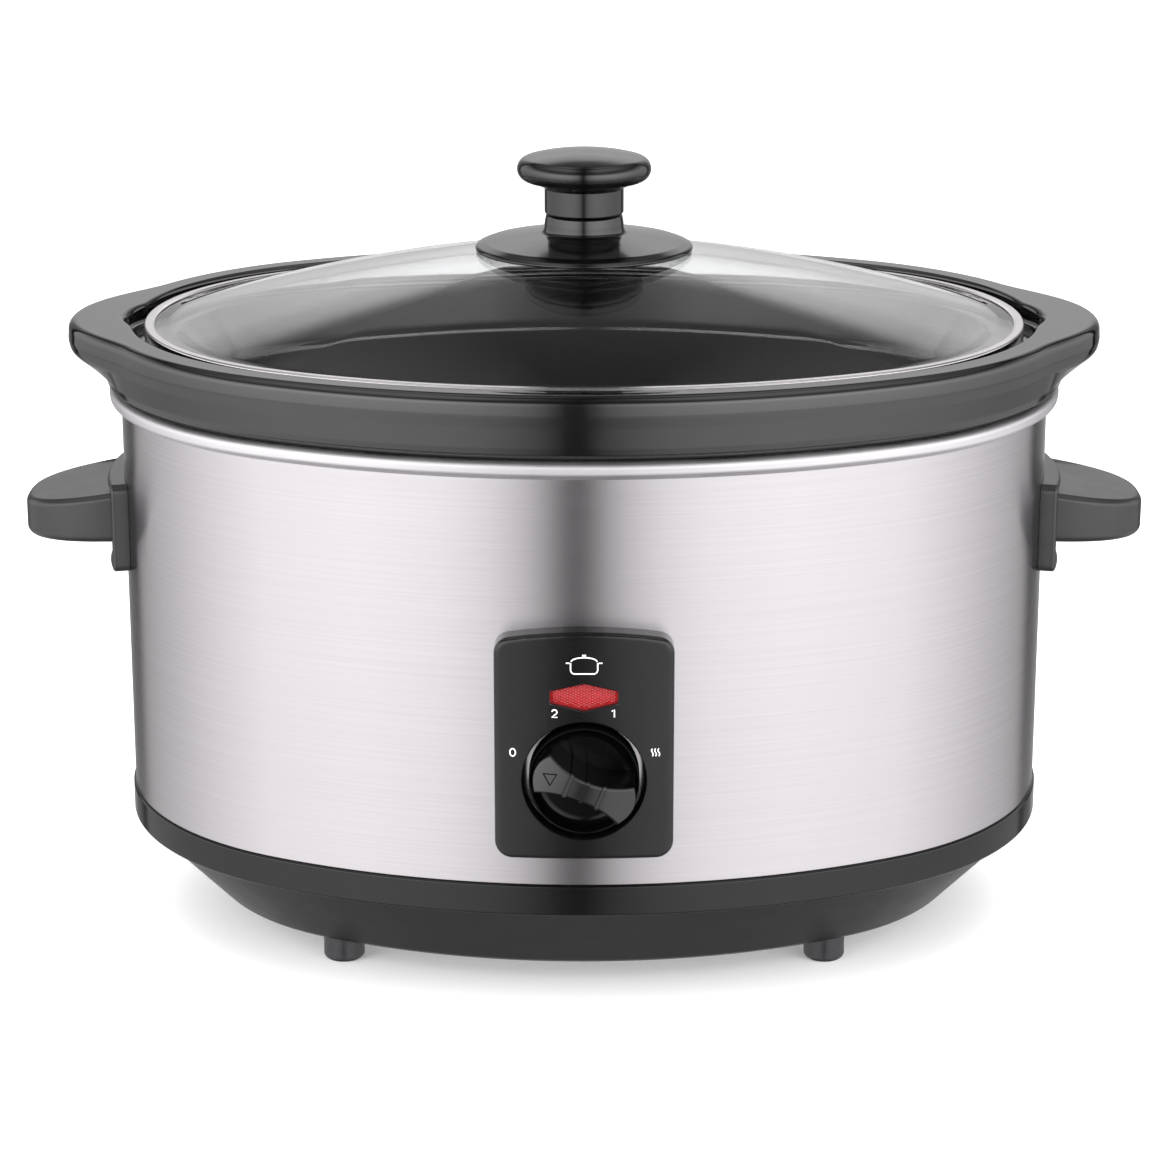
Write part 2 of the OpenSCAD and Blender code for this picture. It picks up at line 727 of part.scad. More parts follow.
outer_shell();
heating_pot();
heating_band();
clamp_hoop();
base_pan();
bottom_cover();
cover_screws();
feet();
foot_screws();
centre_stud();
centre_nut();
handle_left();
handle_right();
handle_plates();
handle_screws();
control_bezel();
panel_screws();
indicator_lens();
indicator_lamp();
switch_bracket();
rotary_switch();
switch_nut();
thermal_fuse();
fuse_clip();
terminal_block();
internal_wires();
cord_gland();
gland_nut();
selector_knob();
switch_shaft();
knob_spring();
crock();
lid_glass();
lid_rim();
lid_knob();
lid_knob_base();
lid_gasket();
lid_washer();
lid_screw();
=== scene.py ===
"""Looks of an oval slow cooker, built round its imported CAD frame.

Lengths are in millimetres until mesh_piece() turns them into metres.
"""

import math

import bmesh
import bpy
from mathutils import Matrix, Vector


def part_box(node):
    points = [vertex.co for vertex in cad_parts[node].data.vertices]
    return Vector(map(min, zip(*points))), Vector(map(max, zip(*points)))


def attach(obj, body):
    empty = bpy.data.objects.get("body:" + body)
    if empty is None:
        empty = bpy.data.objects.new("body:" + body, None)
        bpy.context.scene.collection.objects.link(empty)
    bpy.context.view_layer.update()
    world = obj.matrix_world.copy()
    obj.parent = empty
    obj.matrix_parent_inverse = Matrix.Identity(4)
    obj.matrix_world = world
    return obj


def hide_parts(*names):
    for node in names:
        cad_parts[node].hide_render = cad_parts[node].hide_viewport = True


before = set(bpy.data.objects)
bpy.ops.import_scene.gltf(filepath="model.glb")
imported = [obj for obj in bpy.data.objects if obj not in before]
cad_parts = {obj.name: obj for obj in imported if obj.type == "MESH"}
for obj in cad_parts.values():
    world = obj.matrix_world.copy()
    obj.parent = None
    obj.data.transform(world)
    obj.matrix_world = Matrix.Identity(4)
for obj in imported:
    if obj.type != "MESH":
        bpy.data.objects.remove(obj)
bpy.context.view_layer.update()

MM = 0.001
TAU = 2 * math.pi


def box_mm(node):
    """Lowest and highest corners of a CAD node, in millimetres."""
    low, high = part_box(node)
    return low / MM, high / MM


# Driving sizes, from the frame
SHELL_LOW, SHELL_HIGH = box_mm("outer_shell")
CROCK_LOW, CROCK_HIGH = box_mm("crock")
RIM_LOW, RIM_HIGH = box_mm("lid_rim")
PANEL_LOW, PANEL_HIGH = box_mm("control_bezel")
KNOB_LOW, KNOB_HIGH = box_mm("selector_knob")
LENS_LOW, LENS_HIGH = box_mm("indicator_lens")
HALF_W = SHELL_HIGH.x
HALF_D = -SHELL_LOW.y
FRONT_Y = -HALF_D

# The body's plan: two end arcs and two side arcs, whose centres make an 8, 15, 17 triangle
OVAL_STEP = (HALF_W - HALF_D) / 6
END_C = 8 * OVAL_STEP
SIDE_C = 15 * OVAL_STEP
END_R = HALF_W - END_C
SIDE_R = END_R + 17 * OVAL_STEP
END_SINE = 15 / 17


# ---------------------------------------------------------------- outlines and surfaces


def oval_point(d, phi):
    """The point d outside the body's face where its normal points along phi."""
    c, s = math.cos(phi), math.sin(phi)
    if abs(s) <= END_SINE:
        return math.copysign(END_C, c) + (END_R + d) * c, (END_R + d) * s
    return (SIDE_R + d) * c, (SIDE_R + d) * s - math.copysign(SIDE_C, s)


def rounded(corners, steps, closed=True):
    """An outline through (x, y, radius) corners, each rounded by a circular arc of steps pieces.

    A rounding that has no room on its sides is made smaller.
    """
    n = len(corners)
    points = []
    least_angle, longest_share = 0.01, 0.49
    for i, (x, y, r) in enumerate(corners):
        here = Vector((x, y))
        if r == 0 or (not closed and i in (0, n - 1)):
            points.append(here)
            continue
        before = Vector(corners[i - 1][:2]) - here
        after = Vector(corners[(i + 1) % n][:2]) - here
        half = max(before.angle(after) / 2, least_angle)
        reach = min(r / math.tan(half), longest_share * before.length, longest_share * after.length)
        start = here + before.normalized() * reach
        end = here + after.normalized() * reach
        weight = math.sin(half)
        for k in range(steps + 1):
            t = k / steps
            wa, wc, wb = (1 - t) ** 2, 2 * t * (1 - t) * weight, t * t
            points.append((start * wa + here * wc + end * wb) / (wa + wc + wb))
    return points


def arc(cx, cy, r, start, end, steps):
    """Points on a circle, from one angle to another in degrees."""
    angles = [math.radians(start + (end - start) * k / steps) for k in range(steps + 1)]
    return [Vector((cx + r * math.cos(a), cy + r * math.sin(a))) for a in angles]


def quarter_turn(steps):
    """Angles from 0 to 90 degrees in even steps, in radians."""
    return [math.pi / 2 * k / steps for k in range(steps + 1)]


def smooth_max(a, b, width):
    """The larger of two lengths, blended where they are within width of each other."""
    h = max(width - abs(a - b), 0) / width
    return max(a, b) + h * h * width / 4


def add_rings(bm, rings, closed_along=True, closed_across=True, caps=False):
    """Joins rings of points by quads. Along is from ring to ring, across is round one ring."""
    made = [[bm.verts.new(p) for p in ring] for ring in rings]
    along = len(made) if closed_along else len(made) - 1
    across = len(made[0]) if closed_across else len(made[0]) - 1
    for i in range(along):
        one, two = made[i], made[(i + 1) % len(made)]
        for j in range(across):
            k = (j + 1) % len(one)
            bm.faces.new((one[j], one[k], two[k], two[j]))
    if caps:
        ends = [made[0], made[-1]] if not closed_along else []
        if not closed_across:
            ends += [[ring[0] for ring in made], [ring[-1] for ring in made]]
        for end in ends:
            bm.faces.new(end)
    return made


def add_sweep(bm, profile_at, turns=240, closed=True):
    """Carries a profile round the oval; profile_at(phi) gives (offset, height) points."""
    rings = []
    for i in range(turns):
        phi = TAU * i / turns
        rings.append([(*oval_point(p[0], phi), p[1]) for p in profile_at(phi)])
    add_rings(bm, rings, closed_across=closed, caps=not closed)


def add_lathe(bm, profile, place, turns, closed=False):
    """Turns (radius, height) points round an axis; place(u, v, w) puts a point in space."""
    rings = []
    for i in range(turns):
        a = TAU * i / turns
        rings.append([place(p[0] * math.cos(a), p[0] * math.sin(a), p[1]) for p in profile])
    add_rings(bm, rings, closed_across=closed)
    bmesh.ops.remove_doubles(bm, verts=bm.verts, dist=1e-4)


def upright(x=0, y=0):
    """Places lathe points round a vertical axis."""
    return lambda u, v, w: (x + u, y + v, w)


def forward(z):
    """Places points in front of the body: u right, v up from z, w out of its face at the middle."""
    return lambda u, v, w: (u, FRONT_Y - w, z + v)


def wrapped_front():
    """Places points on the curve of the body's front: u right, v height, w out of its face."""
    return lambda u, v, w: (u, FRONT_Y - w + SIDE_R - math.sqrt(SIDE_R ** 2 - u * u), v)


def wrapped_end(side):
    """Places points on a rounded end of the body: u along its arc, v height, w out of its face."""
    return lambda u, v, w: (
        side * (END_C + (END_R + w) * math.cos(u / END_R)), (END_R + w) * math.sin(u / END_R), v)


def add_pad(bm, outline, place, bottom, top, edge, steps):
    """A slab from height bottom to top with a rounded upper edge. outline(inset) gives its points."""
    rings = [[place(p[0], p[1], bottom) for p in outline(0)]]
    for a in quarter_turn(steps):
        level = top - edge * (1 - math.sin(a))
        rings.append([place(p[0], p[1], level) for p in outline(edge * (1 - math.cos(a)))])
    add_rings(bm, rings, closed_along=False, caps=True)


def rounded_rectangle(u0, v0, u1, v1, corner):
    """An outline function for add_pad."""
    def outline(inset):
        r = max(corner - inset, 0.1)
        return rounded([(u0 + inset, v0 + inset, r), (u1 - inset, v0 + inset, r),
                        (u1 - inset, v1 - inset, r), (u0 + inset, v1 - inset, r)], 6)
    return outline


def dense(outline):
    """Adds points to an outline's long straight stretches, so that it can be wrapped round a curve."""
    spacing = 2.5

    def denser(inset):
        points = outline(inset)
        out = []
        for one, two in zip(points, points[1:] + points[:1]):
            pieces = max(1, int((two - one).length / spacing))
            out += [one.lerp(two, k / pieces) for k in range(pieces)]
        return out
    return denser


def cut_strips(bm, spacing, reach):
    """Cuts a mesh by planes across X, so that it can be bent."""
    count = int(reach / spacing)
    for k in range(-count, count + 1):
        everything = bm.verts[:] + bm.edges[:] + bm.faces[:]
        bmesh.ops.bisect_plane(bm, geom=everything, plane_co=(k * spacing, 0, 0), plane_no=(1, 0, 0))


def flat_plate(outlines, height):
    """A flat plate at a height, with holes where outlines lie inside others."""
    curve = bpy.data.curves.new("outline", "CURVE")
    curve.dimensions = "2D"
    curve.fill_mode = "BOTH"
    for points in outlines:
        spline = curve.splines.new("POLY")
        spline.points.add(len(points) - 1)
        for target, p in zip(spline.points, points):
            target.co = (p[0], p[1], 0, 1)
        spline.use_cyclic_u = True
    holder = bpy.data.objects.new("outline", curve)
    bpy.context.scene.collection.objects.link(holder)
    bpy.context.view_layer.update()
    mesh = holder.evaluated_get(bpy.context.evaluated_depsgraph_get()).to_mesh()
    bm = bmesh.new()
    bm.from_mesh(mesh)
    bmesh.ops.remove_doubles(bm, verts=bm.verts, dist=1e-3)
    for v in bm.verts:
        v.co.z = height
    bpy.data.objects.remove(holder)
    bpy.data.curves.remove(curve)
    return bm


def merge(bm, other):
    """Adds another mesh to this one."""
    mesh = bpy.data.meshes.new("part")
    other.to_mesh(mesh)
    other.free()
    bm.from_mesh(mesh)
    bpy.data.meshes.remove(mesh)


def move_points(bm, place):
    """Puts every vertex (u, v, w) of a mesh in space."""
    for v in bm.verts:
        v.co = place(*v.co)


def mesh_piece(name, bm, materials, body, replaces=(), sharp=35, pick=None, weigh=True):
    """Turns a mesh in millimetres into a piece that rides on a body.

    Edges bent by more than sharp degrees stay sharp. pick(centre) chooses a face's material, and weigh
    keeps flats flat beside rounded edges.
    """
    bmesh.ops.recalc_face_normals(bm, faces=bm.faces)
    mesh = bpy.data.meshes.new(name)
    bm.to_mesh(mesh)
    bm.free()
    for material in materials:
        mesh.materials.append(material)
    for face in mesh.polygons:
        face.use_smooth = True
        if pick:
            face.material_index = pick(face.center)
    for vertex in mesh.vertices:
        vertex.co *= MM
    mesh.set_sharp_from_angle(angle=math.radians(sharp))
    piece = bpy.data.objects.new(name, mesh)
    bpy.context.scene.collection.objects.link(piece)
    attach(piece, body)
    if replaces:
        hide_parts(*replaces)
    if weigh:
        modifier = piece.modifiers.new("flat_beside_rounded_edges", "WEIGHTED_NORMAL")
        modifier.keep_sharp = True


# ---------------------------------------------------------------- materials


class Finish:
    """A procedural material round one Principled shader. Sizes of its patterns are in metres."""

    def __init__(self, name, color, roughness, metallic=0.0, **sockets):
        self.material = bpy.data.materials.new(name)
        self.material.use_nodes = True
        self.tree = self.material.node_tree
        self.shader = self.tree.nodes["Principled BSDF"]
        self.coords = self.tree.nodes.new("ShaderNodeTexCoord")
        self.color = (*color, 1)
        self.set("Base Color", self.color)
        self.set("Roughness", roughness)
        self.set("Metallic", metallic)
        for key, value in sockets.items():
            self.set(key.replace("_", " "), value)
        self.normal = None

    def set(self, socket, value):
        """Sets a value that is the same all over the surface."""
        self.shader.inputs[socket].default_value = value

    def noise(self, size, stretch=(1, 1, 1), detail=3.0):
        """Noise whose blobs are about size across, pulled along an axis by a stretch above 1."""
        mapping = self.tree.nodes.new("ShaderNodeMapping")
        mapping.inputs["Scale"].default_value = [1 / (size * s) for s in stretch]
        texture = self.tree.nodes.new("ShaderNodeTexNoise")
        texture.inputs["Scale"].default_value = 1
        texture.inputs["Detail"].default_value = detail
        self.tree.links.new(self.coords.outputs["Object"], mapping.inputs["Vector"])
        self.tree.links.new(mapping.outputs["Vector"], texture.inputs["Vector"])
        return texture.outputs["Fac"]

    def ramp(self, value, low, high):
        """Carries noise, from its usual low of 0.35 to its high of 0.65, to a range of values."""
        node = self.tree.nodes.new("ShaderNodeMapRange")
        node.inputs["From Min"].default_value = 0.35
        node.inputs["From Max"].default_value = 0.65
        node.inputs["To Min"].default_value = low
        node.inputs["To Max"].default_value = high
        self.tree.links.new(value, node.inputs["Value"])
        return node.outputs["Result"]

    def vary_color(self, value, amount):
        """Makes the colour lighter and darker by a share of itself."""
        node = self.tree.nodes.new("ShaderNodeMix")
        node.data_type = "RGBA"
        node.inputs["A"].default_value = [c * (1 - amount) for c in self.color[:3]] + [1]
        node.inputs["B"].default_value = [c * (1 + amount) for c in self.color[:3]] + [1]
        self.tree.links.new(self.ramp(value, 0, 1), node.inputs["Factor"])
        self.tree.links.new(node.outputs["Result"], self.shader.inputs["Base Color"])
        return self

    def vary_roughness(self, value, low, high):
        """Carries noise to a range of roughness."""
        self.tree.links.new(self.ramp(value, low, high), self.shader.inputs["Roughness"])
        return self

    def bump(self, value, height):
        """Raises the surface by height, in metres, where the value is 1."""
        node = self.tree.nodes.new("ShaderNodeBump")
        node.inputs["Distance"].default_value = height
        self.tree.links.new(value, node.inputs["Height"])
        if self.normal:
            self.tree.links.new(self.normal, node.inputs["Normal"])
        self.normal = node.outputs["Normal"]
        self.tree.links.new(self.normal, self.shader.inputs["Normal"])
        return self

    def brushed_round(self, amount):
        """Brush lines that run round the Z axis."""
        tangent = self.tree.nodes.new("ShaderNodeTangent")
        tangent.direction_type = "RADIAL"
        tangent.axis = "Z"
        self.set("Anisotropic", amount)
        self.set("Anisotropic Rotation", 0.25)
        self.tree.links.new(tangent.outputs["Tangent"], self.shader.inputs["Tangent"])
        return self


def brushed_steel():
    """Sheet steel with fine lines brushed round the body."""
    finish = Finish("brushed_steel", (0.56, 0.542, 0.555), 0.26, 1.0)
    finish.brushed_round(0.95)
    finish.vary_color(finish.noise(0.0003, (400, 400, 1), 2), 0.025)
    finish.vary_roughness(finish.noise(0.04, (1, 1, 0.1), 2), 0.25, 0.27)
    return finish.material


def satin_aluminium():
    finish = Finish("satin_aluminium", (0.76, 0.75, 0.76), 0.5, 1.0)
    lines = finish.noise(0.0004, (160, 160, 1), 2)
    finish.brushed_round(0.3)
    finish.vary_color(lines, 0.04)
    finish.vary_roughness(finish.noise(0.02), 0.46, 0.54)
    return finish.bump(lines, 0.000004).material


def polished_steel():
    finish = Finish("polished_steel", (0.74, 0.72, 0.72), 0.2, 1.0)
    finish.vary_color(finish.noise(0.01), 0.04)
    finish.vary_roughness(finish.noise(0.004), 0.17, 0.23)
    return finish.material


def plated_steel():
    """Zinc-plated sheet and screws, with a faint spangle."""
    finish = Finish("plated_steel", (0.56, 0.57, 0.58), 0.36, 1.0)
    finish.vary_color(finish.noise(0.006, detail=5), 0.12)
    finish.vary_roughness(finish.noise(0.003), 0.3, 0.45)
    return finish.bump(finish.noise(0.001), 0.00001).material


def black_glaze():
    """Fired gloss glaze with a faint slow waviness."""
    finish = Finish("black_glaze", (0.0025, 0.0024, 0.0026), 0.05, IOR=1.8)
    finish.vary_color(finish.noise(0.02), 0.15)
    finish.vary_roughness(finish.noise(0.03), 0.035, 0.07)
    return finish.bump(finish.noise(0.035), 0.0001).material


def gloss_black():
    """Polished moulded plastic."""
    finish = Finish("gloss_black_plastic", (0.002, 0.002, 0.0022), 0.12, IOR=1.7)
    finish.vary_color(finish.noise(0.01), 0.12)
    finish.vary_roughness(finish.noise(0.012), 0.09, 0.16)
    return finish.bump(finish.noise(0.015), 0.00003).material


def band_black():
    """The base's upright band: gloss, a little softer than the knobs."""
    finish = Finish("band_black_plastic", (0.002, 0.002, 0.0022), 0.16, IOR=1.5)
    finish.vary_color(finish.noise(0.01), 0.12)
    finish.vary_roughness(finish.noise(0.02), 0.11, 0.15)
    return finish.bump(finish.noise(0.02), 0.00004).material


def satin_plastic(name, shade, roughness, grain, ior=1.5, level=0.5):
    """Moulded plastic with a fine spark-eroded grain. A level below 0.5 weakens its reflections."""
    finish = Finish(name, (shade, shade, shade * 1.06), roughness, IOR=ior, Specular_IOR_Level=level)
    finish.vary_color(finish.noise(0.008), 0.08)
    finish.vary_roughness(finish.noise(0.01), roughness - 0.015, roughness + 0.015)
    return finish.bump(finish.noise(0.0004, detail=2), grain).material


def clear_glass():
    finish = Finish("clear_glass", (0.97, 0.985, 0.98), 0.0, Transmission_Weight=1.0, IOR=1.5)
    finish.vary_roughness(finish.noise(0.03), 0.0, 0.012)
    return finish.bump(finish.noise(0.05, detail=1), 0.00005).material


def red_lens():
    finish = Finish("red_lens", (0.26, 0.008, 0.01), 0.08, IOR=1.5)
    finish.vary_color(finish.noise(0.0012, detail=2), 0.12)
    return finish.material


def print_white():
    finish = Finish("printed_white", (0.86, 0.86, 0.86), 0.5)
    finish.vary_color(finish.noise(0.0006), 0.05)
    return finish.bump(finish.noise(0.0003), 0.000004).material


def soft_rubber():
    finish = Finish("soft_rubber", (0.018, 0.018, 0.02), 0.28)
    finish.vary_color(finish.noise(0.004), 0.15)
    finish.vary_roughness(finish.noise(0.003), 0.22, 0.36)
    return finish.bump(finish.noise(0.0006), 0.000015).material


def silicone():
    finish = Finish("silicone", (0.74, 0.74, 0.7), 0.45, Subsurface_Weight=0.2)
    finish.vary_color(finish.noise(0.003), 0.05)
    return finish.bump(finish.noise(0.0008), 0.00001).material


def woven_band():
    """Glass-fibre heater band: streaks of colour run round it, and fine raised threads up and down."""
    finish = Finish("woven_glass_fibre", (0.66, 0.62, 0.52), 0.85)
    finish.vary_color(finish.noise(0.0015, (3, 3, 1)), 0.12)
    return finish.bump(finish.noise(0.0008, (1, 1, 3)), 0.0002).material


def brass():
    finish = Finish("brass", (0.75, 0.58, 0.3), 0.3, 1.0)
    finish.vary_color(finish.noise(0.004), 0.08)
    finish.vary_roughness(finish.noise(0.003), 0.24, 0.38)
    return finish.material


def pale_plastic():
    finish = Finish("pale_moulded_plastic", (0.76, 0.75, 0.7), 0.5)
    finish.vary_color(finish.noise(0.005), 0.06)
    return finish.bump(finish.noise(0.0006), 0.00001).material


def lamp_glass():
    finish = Finish("lamp_glass", (0.95, 0.8, 0.7), 0.05, Transmission_Weight=0.7)
    finish.vary_roughness(finish.noise(0.004), 0.03, 0.1)
    return finish.material


def wire_sleeve():
    finish = Finish("wire_sleeve", (0.3, 0.2, 0.13), 0.5)
    finish.vary_color(finish.noise(0.01), 0.15)
    return finish.bump(finish.noise(0.001), 0.00002).material


STEEL = brushed_steel()
ALUMINIUM = satin_aluminium()
POLISHED = polished_steel()
PLATED = plated_steel()
GLAZE = black_glaze()
GLOSS = gloss_black()
BAND = band_black()
SKIRT = satin_plastic("skirt_plastic", 0.006, 0.42, 0.00001)
PANEL = satin_plastic("panel_plastic", 0.004, 0.13, 0.000002)
DIAL = satin_plastic("dial_plastic", 0.002, 0.17, 0.000002, ior=1.7)
# Painted shade: a darker, less reflective copy of the dial plastic, for the knob's dish where it lies in
# shade.
DISH_SHADE = satin_plastic("dish_painted_shade", 0.0015, 0.14, 0.000002, level=0.22)
# Painted shade: a near-black plastic that hardly reflects, put in the knob's well, on the well's rounded edge
# and on the knob's rim, where shade falls; the pointer mark's raised outline is drawn with it too.
SHADE_BLACK = satin_plastic("painted_shade_plastic", 0.003, 0.8, 0.00001, level=0.03)
GRIP = satin_plastic("grip_plastic", 0.013, 0.3, 0.000006, ior=1.6)
GLASS = clear_glass()
LENS = red_lens()
PRINT = print_white()
RUBBER = soft_rubber()
SILICONE = silicone()
WEAVE = woven_band()
BRASS = brass()
PALE = pale_plastic()
LAMP = lamp_glass()
SLEEVE = wire_sleeve()


# ---------------------------------------------------------------- body, pot and base


def steel_wrap():
    """The sheet round the body, with a lapped seam at the back."""
    sheet = 0.8
    seam_at, seam_w, seam_t = 44, 9, 0.45
    low, high = SHELL_LOW.z, SHELL_HIGH.z - 0.1
    section = rounded([(-sheet, low, 0.2), (0, low, 0.35), (0, high, 0.35), (-sheet, high, 0.2)], 3)
    bm = bmesh.new()
    add_sweep(bm, lambda phi: section)
    seam = rounded_rectangle(seam_at, low + 1, seam_at + seam_w, high - 1, 0.5)
    front = wrapped_front()

    def back(u, v, w):
        x, y, z = front(u, v, w)
        return x, -y, z
    sunk, edge = 0.2, 0.2
    add_pad(bm, seam, back, -sunk, seam_t, edge, 2)
    mesh_piece("steel_wrap", bm, [STEEL], "housing", ["outer_shell"])


def pot_liner():
    """The pot that the crock stands in, hung from its rolled collar."""
    low, high = box_mm("heating_pot")
    roll = high.x - HALF_W
    deep, sheet, skirt_in = -80, 1, -1.7
    inside = [(deep, low.z + sheet, 0), (-31, low.z + sheet, 6), (-25, high.z, 2.5)]
    collar = [
        (roll, high.z, 1.8), (roll - 0.3, high.z - 4.4, 2), (0.4, high.z - 6.4, 0.6),
        (skirt_in, high.z - 6.2, 0.3), (skirt_in, high.z - sheet, 1)]
    outside = [(-24, high.z - sheet, 2), (-30, low.z, 5), (deep, low.z, 0)]
    section = rounded(inside + collar + outside, 6, closed=False)
    bm = bmesh.new()
    add_sweep(bm, lambda phi: section, closed=False)
    mesh_piece("pot_liner", bm, [ALUMINIUM], "housing", ["heating_pot"])


def base_moulding():
    """Upright band, sloping skirt and the ring that the feet screw to."""
    low, high = box_mm("base_pan")
    band_low, band_high = 40.8, SHELL_LOW.z - 0.1
    out = high.x - HALF_W
    ring_out, ring_in, ledge_in = -32, -49.8, -60.4
    ledge_low, ledge_high = low.z + 2, low.z + 4.5
    band = [(-1, high.z, 0.3), (-1, band_high, 0.1), (out, band_high, 0.8), (out, band_low, 0.9)]
    skirt = [(-2.6, band_low - 0.5, 0.3), (-30, low.z + 1.4, 2.5)]
    foot_ring = [
        (ring_out, low.z, 1), (ring_in, low.z, 0.4), (ring_in, ledge_low, 0.2), (ledge_in, ledge_low, 0.2),
        (ledge_in, ledge_high, 0.2)]
    inside = [(ring_out - 1, ledge_high, 2), (-6, 41.5, 2), (-3.5, 45, 1), (-3.5, high.z, 0.3)]
    section = rounded(band + skirt + foot_ring + inside, 4)
    bm = bmesh.new()
    add_sweep(bm, lambda phi: section)

    def pick(centre):
        return 0 if centre.z > band_low - 0.3 else 1
    mesh_piece("base_moulding", bm, [BAND, SKIRT], "housing", ["base_pan"], pick=pick)


def feet():
    """Four round feet, each with a screw recess underneath."""
    low, high = box_mm("feet")
    foot_r, recess_r, recess_z = 7.5, 3.9, 4
    bm = bmesh.new()
    section = rounded([
        (0, recess_z, 0), (recess_r, recess_z, 0.3), (recess_r, 0, 0.5), (foot_r, 0, 2.6),
        (foot_r, high.z, 0.4), (0, high.z, 0)], 5, closed=False)
    for x in (low.x + foot_r, high.x - foot_r):
        for y in (low.y + foot_r, high.y - foot_r):
            one = bmesh.new()
            add_lathe(one, section, upright(x, y), 48)
            merge(bm, one)
    mesh_piece("round_feet", bm, [RUBBER], "housing", ["feet"])


def cord_bush():
    """Ribbed strain-relief bush at the back."""
    low, high = box_mm("cord_gland")
    z = (low.z + high.z) / 2
    bore, neck, flange, flange_t = 3.6, 6, 9.5, 3
    rib_count, rib_pitch, rib_deep, rib_taper = 6, 2.6, 1.1, 0.3
    ribs = []
    for k in range(rib_count):
        y, r = HALF_D + flange_t + 0.6 + k * rib_pitch, 7.4 - rib_taper * k
        ribs += [
            (r, y, 0.3), (r, y + 1.3, 0.3), (r - rib_deep, y + 1.35, 0.3),
            (r - rib_deep, y + rib_pitch - 0.05, 0.3)]
    section = rounded([
        (bore, low.y, 0.3), (neck, low.y, 0.5), (neck, HALF_D, 0.2), (flange, HALF_D + 0.1, 0.3),
        (flange, HALF_D + flange_t, 1.2), (7.6, HALF_D + flange_t + 0.05, 0.3), *ribs,
        (bore + 1.4, high.y, 0.5), (bore, high.y, 0.2)], 3)
    bm = bmesh.new()
    add_lathe(bm, section, lambda u, v, w: (u, w, z + v), 48, closed=True)
    mesh_piece("cord_bush", bm, [GRIP], "housing", ["cord_gland"])


# ---------------------------------------------------------------- crock

# Discs that push the rim's edge out into the ears, and its lip out into the thumb notches
EAR_R = 60
EAR_C = CROCK_HIGH.x - EAR_R
NOTCH_R = 26
NOTCH_C = HALF_W - 2.2 - NOTCH_R
# The rim: its top, the ledge that the lid sits on, and how far its edge and lip are outside the body
RIM_TOP = CROCK_HIGH.z
SEAT_Z = RIM_LOW.z - 0.3
RIM_D = CROCK_HIGH.y - HALF_D
LIP_D = -4.9


def reach_to_disc(phi, centre, radius):
    """How far outside the body's face its end normal meets a disc at this place on the long axis."""
    out_of_reach = -1000
    c = abs(math.cos(phi))
    gap = centre - END_C
    inside = radius ** 2 - gap ** 2 * (1 - c * c)
    if inside <= 0 or c <= END_SINE / 2:
        return out_of_reach
    return gap * c + math.sqrt(inside) - END_R


def crock_profile(phi):
    """The crock's section at one place, from its underside out to the rim and in to its floor."""
    edge = smooth_max(RIM_D, reach_to_disc(phi, EAR_C, EAR_R), 8)
    lip = smooth_max(LIP_D, reach_to_disc(phi, NOTCH_C, NOTCH_R), 5)
    ear = edge - RIM_D
    notch = lip - LIP_D
    deep, low, floor_t = -80, CROCK_LOW.z, 10
    under_rim, collar_low = 211, 204.35
    outside = [(deep, low, 0), (-33, low, 7), (-26.4, under_rim, 4), (-6, under_rim, 1.5)]
    collar = [(-5, collar_low, 1.2), (1.5, collar_low, 1), (2.3, 206.2, 0.4), (4.9, 206.8, 1)]
    rim = [
        (5.5, 209.5, 3), (6.1 + ear, 216.5, 5), (6.8 + ear, 220.5, 6),
        (edge - 0.4, RIM_TOP, 4 + 0.2 * ear), (lip, RIM_TOP, 1.8 + 0.4 * notch)]
    ledge = [(lip, SEAT_Z, 1.6 + 0.5 * notch), (-21.5, SEAT_Z, 3)]
    inside = [(-35, 204, 10), (-41, low + floor_t, 16), (deep, low + floor_t, 0)]
    return rounded(outside + collar + rim + ledge + inside, 6, closed=False)


def crock():
    """Glazed crock with a wide rim, two ears and a ledge for the lid."""
    bm = bmesh.new()
    add_sweep(bm, crock_profile, 360, closed=False)
    mesh_piece("stoneware_crock", bm, [GLAZE], "crock", ["crock"], sharp=60)


# ---------------------------------------------------------------- lid

GLASS_TOP = box_mm("lid_glass")[1].z
BASE_LOW, BASE_HIGH = box_mm("lid_knob_base")
CAP_LOW, CAP_HIGH = box_mm("lid_knob")
RIM_IN = HALF_W - RIM_HIGH.x
GLASS_EDGE = RIM_IN + 0.8
GLASS_T = 4
GLASS_Z = RIM_HIGH.z - 0.8
DOME_H = GLASS_TOP - GLASS_Z
DOME_POWER = 1.6
KNOB_STEM_R = 14.5


def glass_dome():
    """A dome of even thickness. A power of the way to its edge sets its height.

    Its rings are round at the knob's hole, and become the oval over the first part of the way out.
    """
    hole_r, rings, edge_at, round_part, turns = 6, 56, 1.03, 12, 240
    steps = [edge_at * k / rings for k in range(rings + 1)]

    def profile(phi):
        x, y = oval_point(-GLASS_EDGE, phi)
        upper = []
        for s in steps:
            share = s / edge_at
            near = max(0, 1 - share * round_part)
            px = x * share * (1 - near) + hole_r * math.cos(phi) * near
            py = y * share * (1 - near) + hole_r * math.sin(phi) * near
            upper.append((px, py, GLASS_Z + DOME_H * (1 - min(s, 1) ** DOME_POWER)))
        lower = [(px, py, z - GLASS_T) for px, py, z in upper]
        return upper + lower[::-1]
    bm = bmesh.new()
    add_rings(bm, [profile(TAU * i / turns) for i in range(turns)])
    mesh_piece("glass_dome", bm, [GLASS], "lid", ["lid_glass"], sharp=50, weigh=False)


